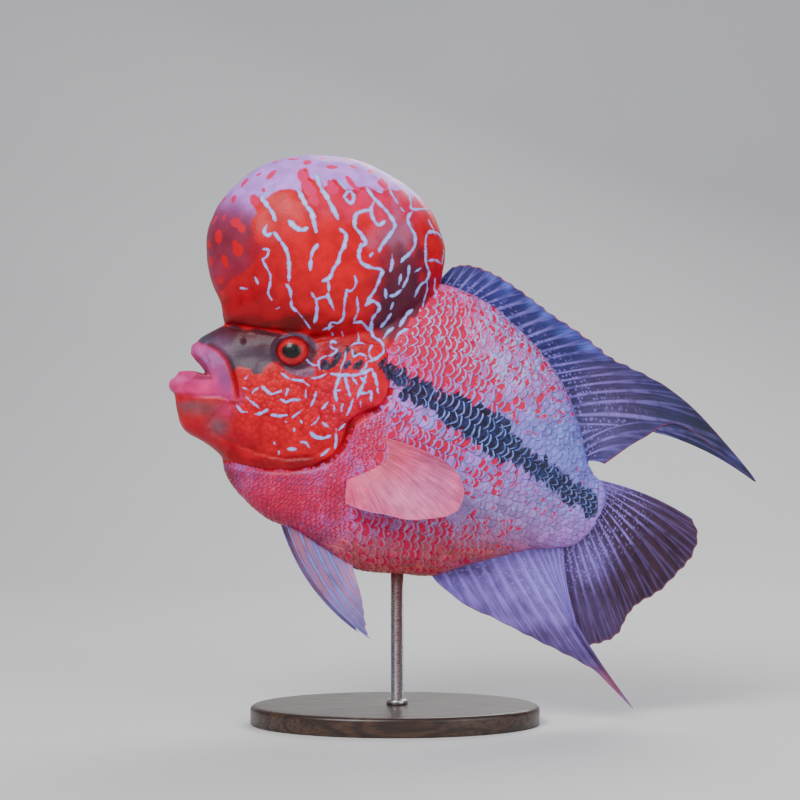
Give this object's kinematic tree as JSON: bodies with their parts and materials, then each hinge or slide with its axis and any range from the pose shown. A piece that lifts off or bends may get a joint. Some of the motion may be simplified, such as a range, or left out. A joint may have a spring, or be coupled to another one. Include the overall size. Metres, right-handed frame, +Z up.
{
  "type": "flowerhorn cichlid model",
  "caption": "Life-size still model of a flowerhorn cichlid with a large rounded nuchal hump, long hind fins and striped, pearly scales, held on a flat oval stand by one rod.",
  "frame": {"origin": "middle of the underside of the stand", "axes": "+Z up, the fish faces -X, its left side is at -Y"},
  "size_m": [0.2795, 0.094, 0.2674],
  "materials": {
    "head_skin": "smooth fish skin, wet sheen",
    "lip_skin": "smooth pink-mauve lip skin",
    "hump_skin": "bright red skin with pale-blue worm lines",
    "eye": "red iris round a black pupil, clear cornea",
    "scaled_skin": "pearly scales, pale blue and lavender over red, black patches",
    "blue_fin": "thin blue fin with lavender rays",
    "purple_fin": "thin purple-mauve fin with pale rays",
    "pink_fin": "thin translucent pink fin",
    "stand_wood": "dark stained wood",
    "stand_metal": "brushed steel rod"
  },
  "bodies": {
    "root": {"head": "head_skin", "lower_jaw": "lip_skin", "nuchal_hump": "hump_skin", "gill_cover_left": "hump_skin", "gill_cover_right": "hump_skin", "eye_left": "eye", "eye_right": "eye", "torso": "scaled_skin", "tail_stalk": "scaled_skin", "dorsal_fin": "blue_fin", "anal_fin": "blue_fin", "tail_fin": "purple_fin", "pectoral_fin_left": "pink_fin", "pectoral_fin_right": "pink_fin", "pelvic_fin_left": "blue_fin", "pelvic_fin_right": "blue_fin", "stand_base": "stand_wood", "stand_rod": "stand_metal"}
  },
  "joints": []
}
